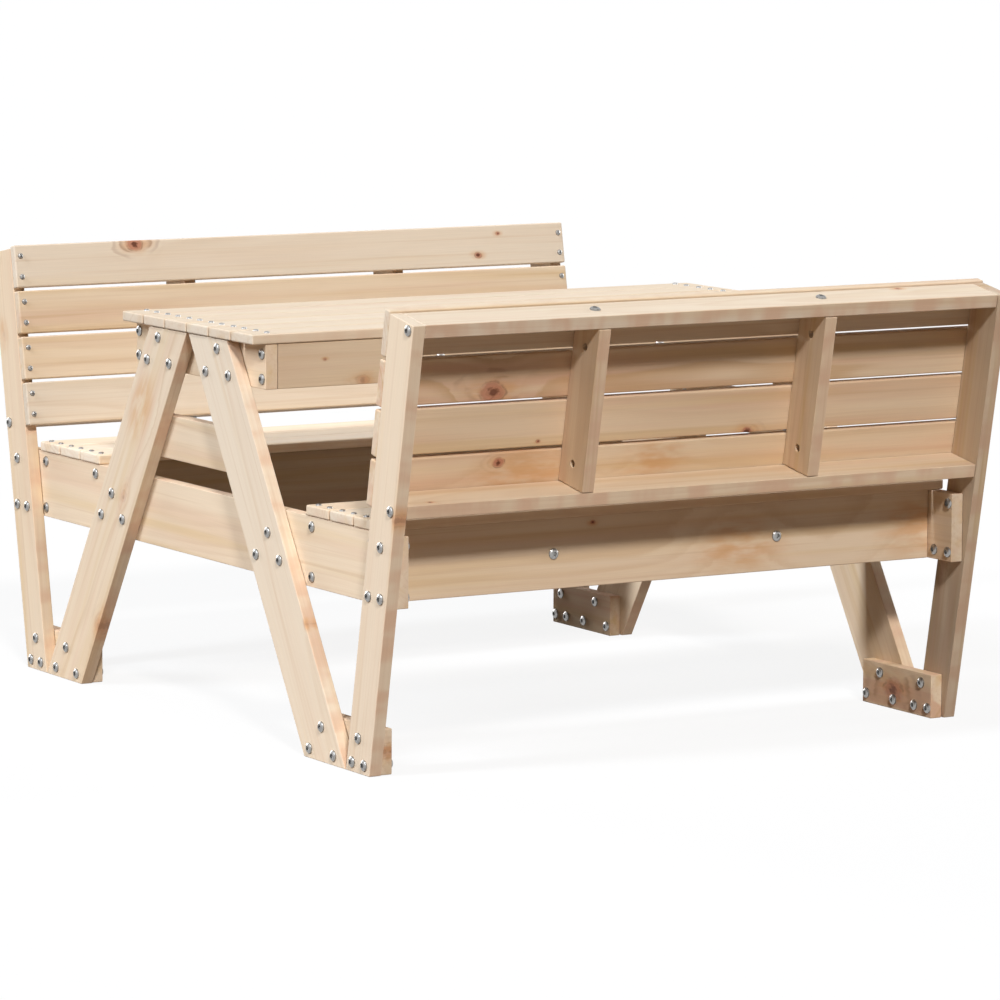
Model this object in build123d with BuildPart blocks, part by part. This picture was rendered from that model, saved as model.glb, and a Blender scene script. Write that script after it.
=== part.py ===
from build123d import *
import os
from math import cos, radians, sin, tan

# Board stock, in millimetres
frame_t = 18.0           # thickness of every frame board
wide_w = 90.0            # width of the A-legs, seat beams, seat rails and seat crosspieces
narrow_w = 58.0          # width of the back legs, foot blocks, cleats, aprons, braces and back frames
slat_t = 14.0            # thickness of the table boards, seat boards and back slats
slat_w = 58.0            # width of the table boards and seat boards
back_slat_w = 59.0       # width of the back slats
edge_ease = 1.5          # chamfer along the long edges of every board

# Overall layout: X runs along the benches, Y across them, Z up from the floor
frame_length = 890.0     # from the outer face of one end frame to the outer face of the other
table_height = 523.0     # top of the table boards
seat_height = 317.0      # top of the seat boards
a_lean = 31.5            # lean of the A-legs from upright, degrees
back_lean = 10.5         # lean of the back legs from upright, degrees
leg_meet_gap = 4.0       # between the two A-legs of one end, under the table
foot_gap = 1.0           # between an A-leg and its back leg, on the floor
block_inset = 4.0        # foot block ends, in from the outer corners of its two legs
brace_rise = 30.5        # brace above the seat beam
brace_inset = 34.0       # brace ends, in from the outer edges of the A-legs
brace_screws = 20.0      # screws, in from the ends of a brace
crosspiece_x = 169.0     # crosspieces and back studs, either side of the middle

# Table top
table_boards = 6
table_gap = 3.0          # between table boards
table_overhang = 2.5     # table boards past the A-legs, along X
cleat_inset = 2.0        # cleat ends and aprons, in from the table edge

# Benches and backrests
seat_boards = 3
seat_gap = 3.0           # between seat boards
seat_overhang = 2.0      # seat boards past the seat beams, along X
seat_to_leg = 8.0        # from the rear seat board to the back legs, under the seat
front_rail_inset = 4.0   # front seat rail, in from the edge of the seat
back_slats = 4
slat_gap = 4.5           # between back slats
slat_proud = 2.5         # top back slat past the tops of the back legs, along the lean
back_rise = 20.0         # lowest back slat above the seat
rail_bolt_inset = 10.5   # bolts through the back legs, in from the legs' outer edge

# Fasteners
head_sides = 6           # heads, nuts and the holes for barrel nuts
shank_sides = 5          # shanks and the holes around them
shank_r = 3.0
hole_clearance = 0.25    # around bolts and barrel nuts
head_r = 7.0
head_h = 3.0
head_gap = 1.5           # from a bolt head to the edge beside it
bolt_bite = 25.0         # frame bolt in the end of the board that it holds
barrel_r = 5.0
barrel_l = 14.0
screw_head_r = 4.0
screw_head_h = 1.8
screw_spread = 14.5      # screws, either side of a board's middle line
a_trio = 31.0            # lower bolts of an A-leg joint, either side of the leg's middle
back_trio = 15.0         # lower bolts of a back leg joint, either side of the leg's middle
trio_rise = 16.0         # bolts above and below the middle of the board behind
beam_rise = 32.0         # the same, where a back leg or a rail meets the seat beam

# Faces and heights
half_length = frame_length / 2
inner_x = half_length - frame_t                 # inner face of the legs
rail_x = inner_x - frame_t                      # inner face of the beams and cleats
table_under = table_height - slat_t
cleat_z = table_under - narrow_w / 2            # middle of the cleats and aprons
beam_top = seat_height - slat_t
beam_z = beam_top - wide_w / 2                  # middle of the beams and seat rails
block_z = narrow_w / 2
brace_z = beam_top + brace_rise + narrow_w / 2

# Legs, measured level from the middle line of the table
a_slope = tan(radians(a_lean))
a_level = wide_w / cos(radians(a_lean))
a_foot = leg_meet_gap / 2 + a_level + table_under * a_slope     # outer corner on the floor
a_top = a_foot - table_under * a_slope                          # outer corner under the table
back_sin = sin(radians(back_lean))
back_cos = cos(radians(back_lean))
back_slope = back_sin / back_cos
back_level = narrow_w / back_cos
back_foot = a_foot + foot_gap                                   # inner corner on the floor
slat_pitch = back_slat_w + slat_gap
back_drop = back_slats * slat_pitch - slat_gap - slat_proud     # leg top to lowest slat's foot, along the lean
back_height = seat_height + back_rise + back_drop * back_cos    # inner top corner

# Table, seat and rails, measured the same way
table_width = table_boards * slat_w + (table_boards - 1) * table_gap
cleat_half = table_width / 2 - cleat_inset
apron_y = cleat_half - frame_t / 2
low_bolt_z = beam_z - beam_rise
seat_depth = seat_boards * slat_w + (seat_boards - 1) * seat_gap
seat_front = back_foot + beam_top * back_slope - seat_to_leg - seat_depth
front_rail_y = seat_front + front_rail_inset + frame_t / 2
rear_rail_y = back_foot + low_bolt_z * back_slope - head_gap - head_r
beam_half = back_foot + low_bolt_z * back_slope + back_level / 2 + back_trio + head_r + head_gap
brace_half = a_foot - (brace_z + narrow_w / 2) * a_slope - brace_inset

ends = {"left": -1, "right": 1}
sides = {"front": -1, "back": 1}
cross_x = (-crosspiece_x, crosspiece_x)
top_rail_down = frame_t / 2                     # middle of the back rails, down the lean
bottom_rail_down = back_drop - frame_t / 2
os.makedirs("parts", exist_ok=True)


# Middle of an A-leg and of a back leg at height z
def a_middle(z):
    return a_foot - z * a_slope - a_level / 2


def back_middle(z):
    return back_foot + z * back_slope + back_level / 2


# Point on a backrest: down its lean from the top, and out from the inner faces of the back legs
def back_point(down, out):
    y = back_foot + back_height * back_slope - down * back_sin + out * back_cos
    z = back_height - down * back_cos - out * back_sin
    return y, z


# Corners of an upright board's section, and of a leaning one's in the backrest
def upright(y, z, y_size, z_size):
    y0, y1 = y - y_size / 2, y + y_size / 2
    z0, z1 = z - z_size / 2, z + z_size / 2
    return [(y0, z0), (y1, z0), (y1, z1), (y0, z1)]


def leaning(side, down0, down1, out0, out1):
    corners = [(down0, out0), (down0, out1), (down1, out1), (down1, out0)]
    return [(side * y, z) for y, z in (back_point(down, out) for down, out in corners)]


# Planes for fasteners, each on the face that the head sits on and facing out of it
def end_plane(end, x, y, z):
    return Plane(origin=(end * x, y, z), x_dir=(0, 1, 0), z_dir=(end, 0, 0))


def side_plane(x, y, z, facing):
    return Plane(origin=(x, y, z), x_dir=(1, 0, 0), z_dir=(0, facing, 0))


def top_plane(x, y, z):
    return Plane(origin=(x, y, z))


def lean_plane(side, x, down, out, facing):
    y, z = back_point(down, out)
    normal = (0, side * facing * back_sin, facing * back_cos)
    return Plane(origin=(x, side * y, z), x_dir=(1, 0, 0), z_dir=normal)


def slat_plane(side, x, down):
    y, z = back_point(down, -slat_t)
    normal = (0, -side * back_cos, back_sin)
    return Plane(origin=(x, side * y, z), x_dir=(1, 0, 0), z_dir=normal)


# Bolts through a leg and the board behind it: one above, two below
def a_joint(end, side, z):
    low = z - trio_rise
    y = a_middle(low)
    spots = [(y, z + trio_rise), (y - a_trio, low), (y + a_trio, low)]
    return [end_plane(end, half_length, side * y, z) for y, z in spots]


def back_joint(end, side, z, rise, upper_shift):
    low = z - rise
    y = back_middle(low)
    spots = [(y + upper_shift, z + rise), (y - back_trio, low), (y + back_trio, low)]
    return [end_plane(end, half_length, side * y, z) for y, z in spots]


# Bolts that go through one board and into the end of another
def apron_joint(end, side):
    return [end_plane(end, inner_x, side * apron_y, cleat_z + k * trio_rise) for k in (-1, 1)]


def seat_rail_joint(end, side, y):
    return [end_plane(end, inner_x, side * y, beam_z + k * beam_rise) for k in (-1, 1)]


def back_rail_joint(end, side, down):
    y, z = back_point(down, narrow_w - rail_bolt_inset)
    return [end_plane(end, half_length, side * y, z)]


def table_cross_joint(x):
    return [side_plane(x, side * cleat_half, cleat_z, side) for side in sides.values()]


def seat_cross_joint(side, x):
    rear = side_plane(x, side * (rear_rail_y + frame_t / 2), beam_z, side)
    front = side_plane(x, side * (front_rail_y - frame_t / 2), beam_z, -side)
    return [rear, front]


def stud_joint(side, x):
    return [lean_plane(side, x, 0, narrow_w / 2, 1), lean_plane(side, x, back_drop, narrow_w / 2, -1)]


# Barrel nuts that take the bolts in a stud's two ends
def stud_barrels(side, x):
    first = frame_t + bolt_bite + barrel_r
    spots = [back_point(down, narrow_w / 2) for down in (first, back_drop - first)]
    return [end_plane(-1, frame_t / 2 - x, side * y, z) for y, z in spots]


# One board: its outline on a plane, eased along its four long edges, drilled for bolts and barrel nuts
def board(plane, outline, amount, both=False, leg_bolts=(), frame_bolts=(), barrels=()):
    drills = [
        (leg_bolts, shank_r, shank_sides, 2 * frame_t),
        (frame_bolts, shank_r, shank_sides, frame_t + bolt_bite),
        (barrels, barrel_r, head_sides, barrel_l),
    ]
    with BuildPart() as piece:
        with BuildSketch(plane):
            with BuildLine():
                Polyline(*outline, close=True)
            make_face()
        extrude(amount=amount, both=both)
        chamfer(piece.edges().sort_by(SortBy.LENGTH)[-4:], edge_ease)
        for planes, radius, sides, depth in drills:
            if planes:
                with BuildSketch(*planes):
                    RegularPolygon(radius + hole_clearance, sides)
                extrude(amount=-depth, mode=Mode.SUBTRACT)
    return piece


# Board of an end frame, from the face at distance x inwards
def end_board(end, x, outline, leg_bolts=(), frame_bolts=()):
    face = Plane.YZ.offset(end * x)
    return board(face, outline, -end * frame_t, leg_bolts=leg_bolts, frame_bolts=frame_bolts)


# Board along X, reaching the same distance both ways from the middle
def long_board(half, outline, frame_bolts=()):
    return board(Plane.YZ, outline, half, both=True, frame_bolts=frame_bolts)


# Board across X, with its middle at distance x
def cross_board(x, outline, frame_bolts=(), barrels=()):
    middle = Plane.YZ.offset(x)
    return board(middle, outline, frame_t / 2, both=True, frame_bolts=frame_bolts, barrels=barrels)


# Heads of one kind of fastener on their planes, with shanks behind them
def fasteners(planes, radius, height, depth=0.0):
    with BuildPart() as group:
        with BuildSketch(*planes):
            RegularPolygon(radius, head_sides)
        extrude(amount=height)
        if depth:
            with BuildSketch(*planes):
                RegularPolygon(shank_r, shank_sides)
            extrude(amount=-depth)
    return group


def finish(name, builder):
    builder.part.label = name
    export_step(builder.part, f"parts/{name}.step")


# End frames
leg_bolt_planes = []
frame_bolt_planes = []
barrel_planes = []
screw_planes = []

for end_name, end in ends.items():
    beam_bolts = []
    beam_rail_bolts = []
    cleat_bolts = []
    cleat_apron_bolts = []
    for side_name, side in sides.items():
        place = f"{end_name}_{side_name}"
        a_block = a_joint(end, side, block_z)
        a_beam = a_joint(end, side, beam_z)
        a_cleat = a_joint(end, side, cleat_z)
        back_block = back_joint(end, side, block_z, trio_rise, 0)
        back_beam = back_joint(end, side, beam_z, beam_rise, back_trio)
        back_rail = back_rail_joint(end, side, top_rail_down) + back_rail_joint(end, side, bottom_rail_down)

        # A-leg, cut level on the floor and under the table
        corners = [(a_foot, 0), (a_top, table_under), (a_top - a_level, table_under), (a_foot - a_level, 0)]
        outline = [(side * y, z) for y, z in corners]
        a_leg = end_board(end, half_length, outline, leg_bolts=a_block + a_beam + a_cleat)
        finish(f"a_leg_{place}", a_leg)

        # Back leg, cut level on the floor and square at the top
        corners = [(back_foot, 0), (back_foot + back_level, 0), back_point(0, narrow_w), back_point(0, 0)]
        outline = [(side * y, z) for y, z in corners]
        bolts = back_block + back_beam
        back_leg = end_board(end, half_length, outline, leg_bolts=bolts, frame_bolts=back_rail)
        finish(f"back_leg_{place}", back_leg)

        # Foot block behind both legs
        block_inner = a_foot - a_level + block_inset
        block_outer = back_foot + back_level - block_inset
        block_y = side * (block_inner + block_outer) / 2
        outline = upright(block_y, block_z, block_outer - block_inner, narrow_w)
        foot_block = end_board(end, inner_x, outline, leg_bolts=a_block + back_block)
        finish(f"foot_block_{place}", foot_block)

        leg_bolt_planes += a_block + a_beam + a_cleat + back_block + back_beam
        beam_bolts += a_beam + back_beam
        for rail_y in (front_rail_y, rear_rail_y):
            beam_rail_bolts += seat_rail_joint(end, side, rail_y)
        cleat_bolts += a_cleat
        cleat_apron_bolts += apron_joint(end, side)
        frame_bolt_planes += back_rail
        brace_y = side * (brace_half - brace_screws)
        screw_planes += [end_plane(-end, -rail_x, brace_y, brace_z + k * screw_spread) for k in (-1, 1)]

    # Seat beam, across both benches
    outline = upright(0, beam_z, 2 * beam_half, wide_w)
    seat_beam = end_board(end, inner_x, outline, leg_bolts=beam_bolts, frame_bolts=beam_rail_bolts)
    finish(f"seat_beam_{end_name}", seat_beam)

    # Cleat, under the table boards
    outline = upright(0, cleat_z, 2 * cleat_half, narrow_w)
    table_cleat = end_board(end, inner_x, outline, leg_bolts=cleat_bolts, frame_bolts=cleat_apron_bolts)
    finish(f"table_cleat_{end_name}", table_cleat)

    # Brace, behind the A-legs
    leg_brace = end_board(end, inner_x, upright(0, brace_z, 2 * brace_half, narrow_w))
    finish(f"leg_brace_{end_name}", leg_brace)

    frame_bolt_planes += beam_rail_bolts + cleat_apron_bolts

# Table top
support_x = (inner_x + rail_x) / 2              # middle of the beams and cleats, under the screws
for number in range(table_boards):
    y = (number - (table_boards - 1) / 2) * (slat_w + table_gap)
    outline = upright(y, table_height - slat_t / 2, slat_w, slat_t)
    table_board = long_board(half_length + table_overhang, outline)
    finish(f"table_board_{number + 1}", table_board)
    for end in ends.values():
        screw_planes += [top_plane(end * support_x, y + k * screw_spread, table_height) for k in (-1, 1)]

table_cross_bolts = [plane for x in cross_x for plane in table_cross_joint(x)]
for side_name, side in sides.items():
    bolts = apron_joint(-1, side) + apron_joint(1, side) + table_cross_bolts
    table_apron = long_board(rail_x, upright(side * apron_y, cleat_z, frame_t, narrow_w), frame_bolts=bolts)
    finish(f"table_apron_{side_name}", table_apron)

with BuildPart() as table_crosspieces:
    for x in cross_x:
        outline = upright(0, cleat_z, 2 * (cleat_half - frame_t), narrow_w)
        add(cross_board(x, outline, frame_bolts=table_cross_joint(x)).part)
finish("table_crosspieces", table_crosspieces)
frame_bolt_planes += table_cross_bolts

# Benches and backrests
for side_name, side in sides.items():
    for number in range(seat_boards):
        y = side * (seat_front + slat_w / 2 + number * (slat_w + seat_gap))
        outline = upright(y, seat_height - slat_t / 2, slat_w, slat_t)
        seat_board = long_board(inner_x + seat_overhang, outline)
        finish(f"seat_board_{side_name}_{number + 1}", seat_board)
        for end in ends.values():
            screw_planes += [top_plane(end * support_x, y + k * screw_spread, seat_height) for k in (-1, 1)]

    seat_cross_bolts = [plane for x in cross_x for plane in seat_cross_joint(side, x)]
    for rail_name, rail_y in (("inner", front_rail_y), ("outer", rear_rail_y)):
        bolts = seat_rail_joint(-1, side, rail_y) + seat_rail_joint(1, side, rail_y) + seat_cross_bolts
        seat_rail = long_board(rail_x, upright(side * rail_y, beam_z, frame_t, wide_w), frame_bolts=bolts)
        finish(f"seat_rail_{side_name}_{rail_name}", seat_rail)

    with BuildPart() as seat_crosspieces:
        for x in cross_x:
            middle_y = side * (front_rail_y + rear_rail_y) / 2
            outline = upright(middle_y, beam_z, rear_rail_y - front_rail_y - frame_t, wide_w)
            add(cross_board(x, outline, frame_bolts=seat_cross_joint(side, x)).part)
    finish(f"seat_crosspieces_{side_name}", seat_crosspieces)

    # Slats on the inner faces of the back legs
    for number in range(back_slats):
        top = number * slat_pitch - slat_proud
        back_slat = long_board(half_length, leaning(side, top, top + back_slat_w, -slat_t, 0))
        finish(f"back_slat_{side_name}_{number + 1}", back_slat)
        for end in ends.values():
            leg_x = end * (half_length - frame_t / 2)
            middle = top + back_slat_w / 2
            screw_planes += [slat_plane(side, leg_x, middle + k * screw_spread) for k in (-1, 1)]

    # Rails and studs between the back legs
    stud_bolts = [plane for x in cross_x for plane in stud_joint(side, x)]
    for rail_name, down in (("top", top_rail_down), ("bottom", bottom_rail_down)):
        outline = leaning(side, down - frame_t / 2, down + frame_t / 2, 0, narrow_w)
        bolts = back_rail_joint(-1, side, down) + back_rail_joint(1, side, down) + stud_bolts
        back_rail = long_board(inner_x, outline, frame_bolts=bolts)
        finish(f"back_{rail_name}_rail_{side_name}", back_rail)

    for number, x in enumerate(cross_x):
        outline = leaning(side, frame_t, back_drop - frame_t, 0, narrow_w)
        barrels = stud_barrels(side, x)
        back_stud = cross_board(x, outline, frame_bolts=stud_joint(side, x), barrels=barrels)
        finish(f"back_stud_{side_name}_{number + 1}", back_stud)
        barrel_planes += barrels

    frame_bolt_planes += seat_cross_bolts + stud_bolts

# Fasteners, one group for each kind
leg_bolts = fasteners(leg_bolt_planes, head_r, head_h, 2 * frame_t)
finish("leg_bolts", leg_bolts)

cap_nuts = fasteners([plane.offset(-2 * frame_t) for plane in leg_bolt_planes], head_r, -head_h)
finish("cap_nuts", cap_nuts)

frame_bolts = fasteners(frame_bolt_planes, head_r, head_h, frame_t + bolt_bite)
finish("frame_bolts", frame_bolts)

barrel_nuts = fasteners(barrel_planes, barrel_r, -barrel_l)
finish("barrel_nuts", barrel_nuts)

board_screws = fasteners(screw_planes, screw_head_r, screw_head_h)
finish("board_screws", board_screws)
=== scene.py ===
import math

import bpy
import numpy as np
from mathutils import Matrix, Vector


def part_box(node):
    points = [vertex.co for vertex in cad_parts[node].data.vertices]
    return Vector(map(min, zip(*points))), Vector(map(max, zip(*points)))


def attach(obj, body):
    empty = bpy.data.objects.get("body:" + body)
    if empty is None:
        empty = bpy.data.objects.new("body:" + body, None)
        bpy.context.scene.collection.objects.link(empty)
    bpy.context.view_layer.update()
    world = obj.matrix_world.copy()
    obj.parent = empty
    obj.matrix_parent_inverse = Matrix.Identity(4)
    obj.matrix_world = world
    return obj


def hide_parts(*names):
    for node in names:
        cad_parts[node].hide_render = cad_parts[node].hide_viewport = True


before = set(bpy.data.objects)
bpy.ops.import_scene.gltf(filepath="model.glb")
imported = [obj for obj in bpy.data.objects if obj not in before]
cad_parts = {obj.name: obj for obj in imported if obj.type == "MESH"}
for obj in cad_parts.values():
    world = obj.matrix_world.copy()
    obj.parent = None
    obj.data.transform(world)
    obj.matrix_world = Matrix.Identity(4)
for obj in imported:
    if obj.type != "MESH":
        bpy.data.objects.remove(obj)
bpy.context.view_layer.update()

scene = bpy.context.scene
sides = {"front": -1, "back": 1}        # which way each bench lies along Y
endNames = ("left", "right")
decimals = 6                            # points are told apart to a micrometre
touch = 1e-4                            # points this near to a level lie on it, in metres
print("frame loaded:", len(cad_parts), "nodes")


# Places of a mesh's points, one row for each, in metres
def meshSpots(mesh):
    spots = np.empty(len(mesh.vertices) * 3, np.float32)
    mesh.vertices.foreach_get("co", spots)
    return spots.reshape(-1, 3).astype(float)


# Points of a CAD node, each once
def nodePoints(name):
    return np.unique(meshSpots(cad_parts[name].data).round(decimals), axis=0)


# Separate solids of a CAD node: each point takes the lowest number among its neighbours, until none changes
def nodeSolids(name):
    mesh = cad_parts[name].data
    edges = np.empty(len(mesh.edges) * 2, np.int32)
    mesh.edges.foreach_get("vertices", edges)
    points, place = np.unique(meshSpots(mesh).round(decimals), axis=0, return_inverse=True)
    a, b = place.reshape(-1)[edges].reshape(-1, 2).T
    label = np.arange(len(points))
    while True:
        lowest = np.minimum(label[a], label[b])
        new = label.copy()
        np.minimum.at(new, a, lowest)
        np.minimum.at(new, b, lowest)
        new = new[new]
        if (new == label).all():
            break
        label = new
    return [points[label == number] for number in np.unique(label)]


# Leans of the A-legs and of the backrests, read from the CAD model
legPoints = nodePoints("a_leg_left_back")
legFoot = legPoints[legPoints[:, 2] < touch].mean(0)
legTop = legPoints[legPoints[:, 2] > legPoints[:, 2].max() - touch].mean(0)
aLean = math.atan2(legFoot[1] - legTop[1], legTop[2] - legFoot[2])
slatPoints = nodePoints("back_slat_back_1")[:, 1:]
slatAxis = np.linalg.svd(slatPoints - slatPoints.mean(0))[2][0]
backLean = math.atan(slatAxis[0] / slatAxis[1])
print("leans:", round(math.degrees(aLean), 2), round(math.degrees(backLean), 2))


# Axes of a board, as rows: along its length, across its width and through its thickness.
# This one runs along X, with its width stood upright and then leaned along Y by the turn.
def lengthways(turn=0.0):
    sine, cosine = math.sin(turn), math.cos(turn)
    return np.array([[1, 0, 0], [0, sine, cosine], [0, cosine, -sine]])


# Axes of a board that runs along X and lies flat
def flat():
    return np.eye(3)


# Axes of a board that runs along Y and stands on edge
def crossways():
    return np.array([[0, 1, 0], [0, 0, 1], [1, 0, 0]], float)


# Axes of a board that stands up and leans along Y by the turn, with its broad faces square to X
def leaning(turn):
    sine, cosine = math.sin(turn), math.cos(turn)
    return np.array([[0, sine, cosine], [0, cosine, -sine], [1, 0, 0]])


boardLooks = {
    "roundSoft": 0.0022,                # edges of the table boards, seat boards and slats
    "roundFrame": 0.0012,               # edges of the frame boards
    "roundSteps": 3,
    "seam": 0.0004,                     # ends and broad faces lie this far in, so joints show a dark line
    "railSeam": 0.0010,                 # the same for the long edges of the back rails, behind the slats
    "sharpAngle": 50,                   # edges that turn by more than this shade as sharp, in degrees
    "flatWeight": 100,                  # how far the large faces lead the shading
    "softEdge": 0.35,                   # share of the edge bands on the softly rounded boards
    "pithNear": 0.030,                  # the tree's middle lies this far from the board's, or up to pithFar
    "pithFar": 0.110,
    "pithSlant": 0.05,                  # most that it slants along the board
    "pithSwing": 1.7,                   # how far round from straight behind it may lie, in radians in all
    "ringShift": 20.0,                  # most that the noise in one board is moved from that in another
    "paleShare": 0.5,                   # most that a board without a tone of its own is paled
    "seed": 11,
}

# Knots of each board, three at most: along it and across it from its middle, the radius, all in metres, and
# how dark it is, where 0 is only a stain
boardKnots = {
    "back_slat_back_1": [(-0.259, 0.024, 0.0095, 0.95),
                         (0.297, -0.0133, 0.0046, 0.95),
                         (0.3335, 0.0168, 0.0030, 0.8)],
    "back_slat_front_2": [(-0.287, -0.0185, 0.0150, 0.85)],
    "back_slat_front_3": [(0.100, -0.0275, 0.0070, 1.0),
                          (-0.213, -0.0225, 0.0026, 0.9)],
    "back_slat_front_4": [(-0.268, 0.0170, 0.0068, 1.0),
                          (-0.228, 0.000, 0.026, 0.0),
                          (-0.038, 0.006, 0.017, 0.0)],
    "back_top_rail_front": [(0.303, 0.022, 0.0040, 0.8)],
    "back_bottom_rail_front": [(-0.390, -0.0187, 0.0030, 0.8)],
    "back_leg_left_back": [(0.175, 0.0124, 0.0080, 0.10)],
    "back_leg_left_front": [(0.045, -0.029, 0.0060, 0.30)],
    "a_leg_left_back": [(0.0314, -0.0122, 0.0080, 0.25),
                        (0.165, 0.010, 0.018, 0.0),
                        (-0.165, -0.045, 0.0105, 0.25)],
    "a_leg_left_front": [(-0.125, -0.045, 0.0030, 0.15)],
    "foot_block_right_front": [(0.0075, -0.0034, 0.0165, 0.75)],
    "foot_block_left_front": [(-0.074, 0.0, 0.0090, 0.40)],
    "seat_rail_front_outer": [(-0.111, 0.0365, 0.0030, 0.9),
                              (0.1125, -0.008, 0.022, 0.0),
                              (0.395, -0.0014, 0.024, 0.0)],
    "table_apron_front": [(-0.285, -0.024, 0.0075, 0.30),
                          (-0.340, 0.006, 0.0022, 0.6)],
    "a_leg_right_back": [(-0.120, 0.014, 0.0085, 0.70)],
    "a_leg_right_front": [(0.090, -0.010, 0.0070, 0.55)],
    "back_leg_right_back": [(0.060, 0.008, 0.0060, 0.65)],
    "seat_rail_back_outer": [(0.180, 0.012, 0.0100, 0.75),
                             (-0.240, -0.026, 0.0055, 0.9)],
    "seat_beam_right": [(-0.210, -0.015, 0.0080, 0.50)],
    "table_apron_back": [(0.120, -0.012, 0.0065, 0.70)],
}

# Boards whose tone stands out: how pale it is, how light, where 0.5 is plain, and how pink its streaks are.
# Many of the light values are painted light and shade, set to how lit each board looks. The far seat boards
# are lightened as painted light where the table shades them from the lamps. The far seat's inner rail, the
# right front back leg and the front studs are darkened as painted shade.
boardTonesAndPaintedLight = {
    "back_slat_back_1": (0.90, 0.40, 0.3),
    "back_slat_back_2": (0.15, 0.30, 0.8),
    "back_slat_back_3": (0.20, 0.40, 0.6),
    "back_slat_back_4": (1.00, -0.30, 0.2),
    "back_slat_front_1": (0.40, 0.00, 0.6),
    "back_slat_front_2": (0.00, 0.50, 2.0),
    "back_slat_front_3": (0.05, 0.55, 1.2),
    "back_slat_front_4": (0.00, 0.60, 1.4),
    "back_top_rail_front": (0.65, -0.10, 0.4),
    "back_bottom_rail_front": (0.20, 0.40, 0.7),
    "back_leg_right_front": (0.00, -1.60, 1.3),
    "back_stud_front_1": (0.00, -0.10, 0.9),
    "back_stud_front_2": (0.00, 0.00, 0.7),
    "a_leg_left_front": (0.45, 0.65, 0.0),
    "a_leg_left_back": (0.15, 0.50, 0.6),
    "back_leg_left_front": (0.30, 0.65, 0.1),
    "seat_beam_left": (0.20, 0.70, 0.6),
    "seat_rail_front_outer": (0.25, 0.90, 0.5),
    "seat_rail_back_inner": (0.00, -3.30, 0.5),
    "seat_board_back_1": (0.95, 2.00, 0.4),
    "seat_board_back_2": (0.85, 1.80, 0.5),
    "seat_board_back_3": (0.80, 1.70, 0.6),
    "table_apron_front": (0.15, -0.90, 0.8),
    "table_board_1": (0.55, -0.05, 0.5),
    "table_board_2": (0.45, -0.15, 0.3),
    "table_board_3": (0.60, 0.00, 0.6),
    "table_board_4": (0.45, -0.10, 0.4),
    "table_board_5": (0.55, -0.05, 0.7),
    "table_board_6": (0.45, -0.15, 0.5),
    "foot_block_right_front": (0.00, 2.20, 4.0),
    "foot_block_right_back": (0.00, 0.30, 3.0),
}


# Angles of evenly spaced points around a circle, from a start that is a share of one space
def circle(count, start=0.0):
    return (np.arange(count) + start) / count * 2 * math.pi


# Faces of a grid whose rows close on themselves: each joins two neighbours in a row to the two in the next
def gridQuads(ids):
    onward = np.roll(ids, -1, 1)
    return np.stack([ids[:-1], onward[:-1], onward[1:], ids[1:]], 2).reshape(-1, 4)


# Faces of several copies of a mesh: the numbers in a copy start after the points of the copies before it
def copiedFaces(faces, copies, points):
    shifts = np.arange(copies)[:, None, None] * points
    return (faces + shifts).reshape(-1, faces.shape[1]).tolist()


# Rounded board: a core box swept by a ball, so a point is a corner of the core plus the radius times the
# normal. Each row of the grid goes once around the board. The rows go from the face of one end to that of
# the other, and the first and the last row close on the four corners of the core. Ends may be cut on a
# slant, which shifts a point along the board in proportion to its place across it.
def boardSurface(points, axes, radius, slants, edgeSeam):
    middle = points.mean(0)
    local = (points - middle) @ axes.T
    low = local.min(0)
    high = local.max(0)
    low[0] = (local[:, 0] - slants[0] * local[:, 1]).min()
    high[0] = (local[:, 0] - slants[1] * local[:, 1]).max()
    seams = np.array([boardLooks["seam"], edgeSeam, boardLooks["seam"]])
    low += seams
    high -= seams
    steps = boardLooks["roundSteps"]
    centre = (low + high)[1:] / 2
    core = (high - low)[1:] / 2 - radius
    corner = np.repeat([[1, 1], [-1, 1], [-1, -1], [1, -1]], steps + 1, axis=0)
    turn = np.concatenate([np.linspace(k, k + 1, steps + 1) for k in range(4)]) * math.pi / 2
    normal = np.column_stack([np.cos(turn), np.sin(turn)])
    quarter = np.linspace(0, math.pi / 2, steps + 1)
    swing = np.concatenate([quarter[::-1], quarter])
    atStart = np.arange(len(swing)) <= steps
    profile = centre + corner * core + radius * np.cos(swing)[:, None, None] * normal
    rim = np.where(atStart, low[0] + radius, high[0] - radius)
    along = rim + np.where(atStart, -radius, radius) * np.sin(swing)
    slant = np.where(atStart, *slants)[:, None] * profile[:, :, 0]
    grid = np.concatenate([(along[:, None] + slant)[..., None], profile], 2)
    shape = grid.shape[:2]
    ids = np.arange(shape[0] * shape[1]).reshape(shape)
    ids[[0, -1]] = np.repeat(ids[[0, -1], ::steps + 1], steps + 1, axis=1)
    used, ids = np.unique(ids, return_inverse=True)
    ids = ids.reshape(shape)
    quads = gridQuads(ids)
    first = quads[:, 0] == quads[:, 1]
    last = quads[:, 2] == quads[:, 3]
    caps = [ids[0, ::-(steps + 1)], ids[-1, ::steps + 1]]
    return {"spots": grid.reshape(-1, 3)[used],
            "quads": np.concatenate([quads[~(first | last)], caps]),
            "corners": np.concatenate([quads[first][:, 1:], quads[last][:, :3]]),
            "middle": middle, "axes": axes, "half": (high - low) / 2, "centre": (low + high) / 2,
            "radius": radius, "slants": slants}


# Mesh object from an array of points and a list of faces
def meshPiece(name, spots, faces, material):
    mesh = bpy.data.meshes.new(name)
    mesh.from_pydata(spots.tolist(), [], faces)
    mesh.validate()
    mesh.polygons.foreach_set("use_smooth", np.ones(len(mesh.polygons), bool))
    mesh.materials.append(material)
    piece = bpy.data.objects.new(name, mesh)
    scene.collection.objects.link(piece)
    return piece


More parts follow.
